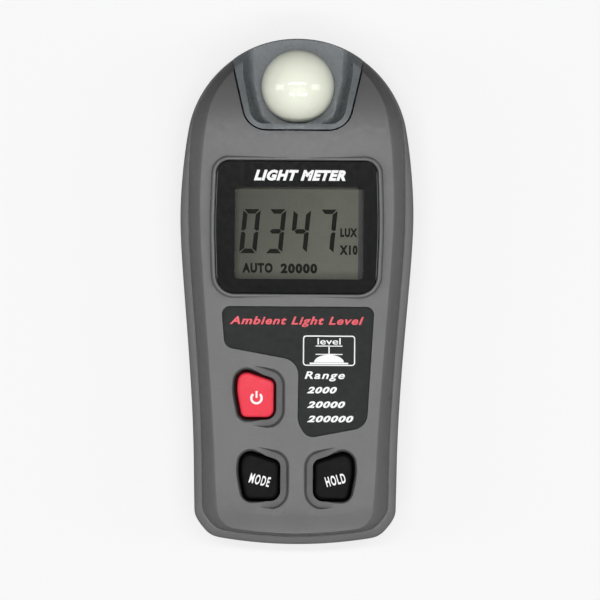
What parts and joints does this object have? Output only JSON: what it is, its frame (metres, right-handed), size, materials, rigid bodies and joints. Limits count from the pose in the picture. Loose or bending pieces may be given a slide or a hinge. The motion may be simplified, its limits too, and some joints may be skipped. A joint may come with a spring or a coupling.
{
  "type": "handheld light meter",
  "caption": "Pocket light meter with a white diffuser dome, a liquid crystal display, sprung keys and a sliding battery door on the back.",
  "frame": {"origin": "on the flat back, under the middle of the case's length and width", "axes": "+X to the right seen from the front, +Y towards the sensor end, +Z out of the front face"},
  "size_m": [0.0646, 0.14, 0.0269],
  "materials": {
    "case_grey": "fine matte moulded texture",
    "window_black": "gloss, printed black behind a clear face",
    "label_black": "matte printed overlay",
    "lcd_grey": "reflective liquid crystal, grey green",
    "dark_plastic": "moulded",
    "white_plastic": "moulded",
    "cup_grey": "semi gloss bluish grey",
    "diffuser_white": "translucent opal, semi gloss",
    "key_red": "semi gloss silicone",
    "key_black": "semi gloss silicone",
    "silicone_grey": "silicone",
    "carbon": "carbon loaded",
    "steel": "zinc plated",
    "nickel": "nickel plated spring steel",
    "filter_green": "polished",
    "board_green": "solder mask",
    "chip_black": "moulded epoxy",
    "trimmer_blue": "moulded",
    "cell_skin": "printed sleeve",
    "wire_red": "insulated lead",
    "wire_black": "insulated lead",
    "wire_white": "insulated lead"
  },
  "bodies": {
    "case": {"front_shell": "case_grey", "rear_shell": "case_grey", "case_screw_upper_left": "steel", "case_screw_upper_right": "steel", "case_screw_lower_left": "steel", "case_screw_lower_right": "steel", "display_window": "window_black", "lower_label": "label_black", "lcd_glass": "lcd_grey", "lcd_holder": "dark_plastic", "lcd_reflector": "white_plastic", "zebra_strip_lower": "silicone_grey", "zebra_strip_upper": "silicone_grey", "sensor_cup": "cup_grey", "diffuser_dome": "diffuser_white", "dome_seal": "silicone_grey", "colour_filter": "filter_green", "photodiode": "steel", "sensor_board": "board_green", "sensor_wire_signal": "wire_white", "sensor_wire_ground": "wire_black", "main_board": "board_green", "microcontroller": "chip_black", "op_amp": "chip_black", "crystal": "steel", "trimmer": "trimmer_blue", "capacitor": "chip_black", "board_screw_left": "steel", "board_screw_right": "steel", "keypad_sheet": "silicone_grey", "power_web": "silicone_grey", "mode_web": "silicone_grey", "hold_web": "silicone_grey", "battery_cell_left": "cell_skin", "battery_cell_middle": "cell_skin", "battery_cell_right": "cell_skin", "contact_positive": "nickel", "contact_negative": "nickel", "contact_upper_link": "nickel", "contact_lower_link": "nickel", "spring_left": "nickel", "spring_middle": "nickel", "spring_right": "nickel", "battery_wire_red": "wire_red", "battery_wire_black": "wire_black"},
    "power_key": {"power_key": "key_red", "power_pill": "carbon"},
    "mode_key": {"mode_key": "key_black", "mode_pill": "carbon"},
    "hold_key": {"hold_key": "key_black", "hold_pill": "carbon"},
    "door": {"battery_door": "case_grey"}
  },
  "joints": [
    {"name": "power_press", "type": "slide", "parent": "case", "child": "power_key", "axis": [0, 0, -1], "range_m": [0, 0.001], "stiffness_N_per_m": 800, "springref_m": -0.001, "deforming": ["power_web"]},
    {"name": "mode_press", "type": "slide", "parent": "case", "child": "mode_key", "axis": [0, 0, -1], "range_m": [0, 0.001], "stiffness_N_per_m": 800, "springref_m": -0.001, "deforming": ["mode_web"]},
    {"name": "hold_press", "type": "slide", "parent": "case", "child": "hold_key", "axis": [0, 0, -1], "range_m": [0, 0.001], "stiffness_N_per_m": 800, "springref_m": -0.001, "deforming": ["hold_web"]},
    {"name": "door_slide", "type": "slide", "parent": "case", "child": "door", "axis": [0, -1, 0], "range_m": [0, 0.062]}
  ]
}
